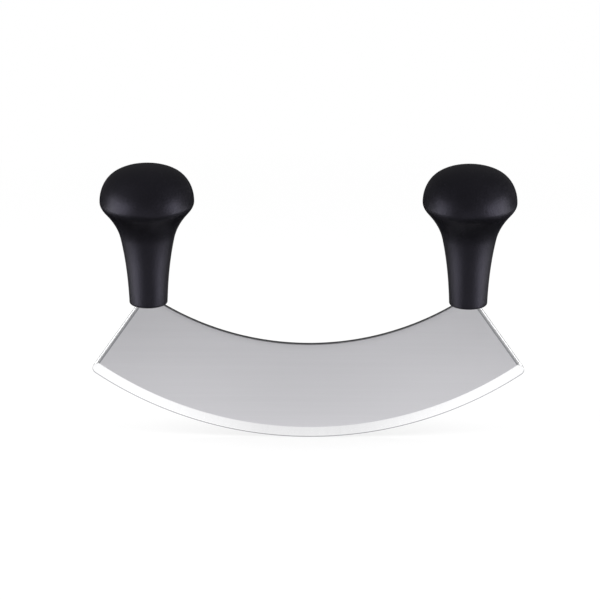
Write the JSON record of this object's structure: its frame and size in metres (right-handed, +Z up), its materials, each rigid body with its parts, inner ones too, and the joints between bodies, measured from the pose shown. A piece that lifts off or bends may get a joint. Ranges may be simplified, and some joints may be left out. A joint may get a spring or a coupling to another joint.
{
  "type": "mezzaluna",
  "caption": "Rocking chopper with a crescent blade of satin stainless sheet, slanted ends, a ground bevel and upright black knob handles.",
  "frame": {"origin": "under the middle of the blade, level with the lowest point of the cutting edge, in the middle of the blade's thickness", "axes": "+X along the blade towards the right-hand knob, +Y across its thickness towards the back, +Z up from the cutting edge towards the knobs"},
  "size_m": [0.2024, 0.0436, 0.1328],
  "materials": {
    "blade_steel": "satin stainless sheet, ground bright along the bevel",
    "knob_plastic": "black moulded plastic with a very fine matte texture",
    "core_plastic": "dark grey moulded plastic, plain, hidden inside the knob"
  },
  "bodies": {
    "root": {"blade": "blade_steel", "left_knob_core": "core_plastic", "left_knob": "knob_plastic", "right_knob_core": "core_plastic", "right_knob": "knob_plastic"}
  },
  "joints": []
}
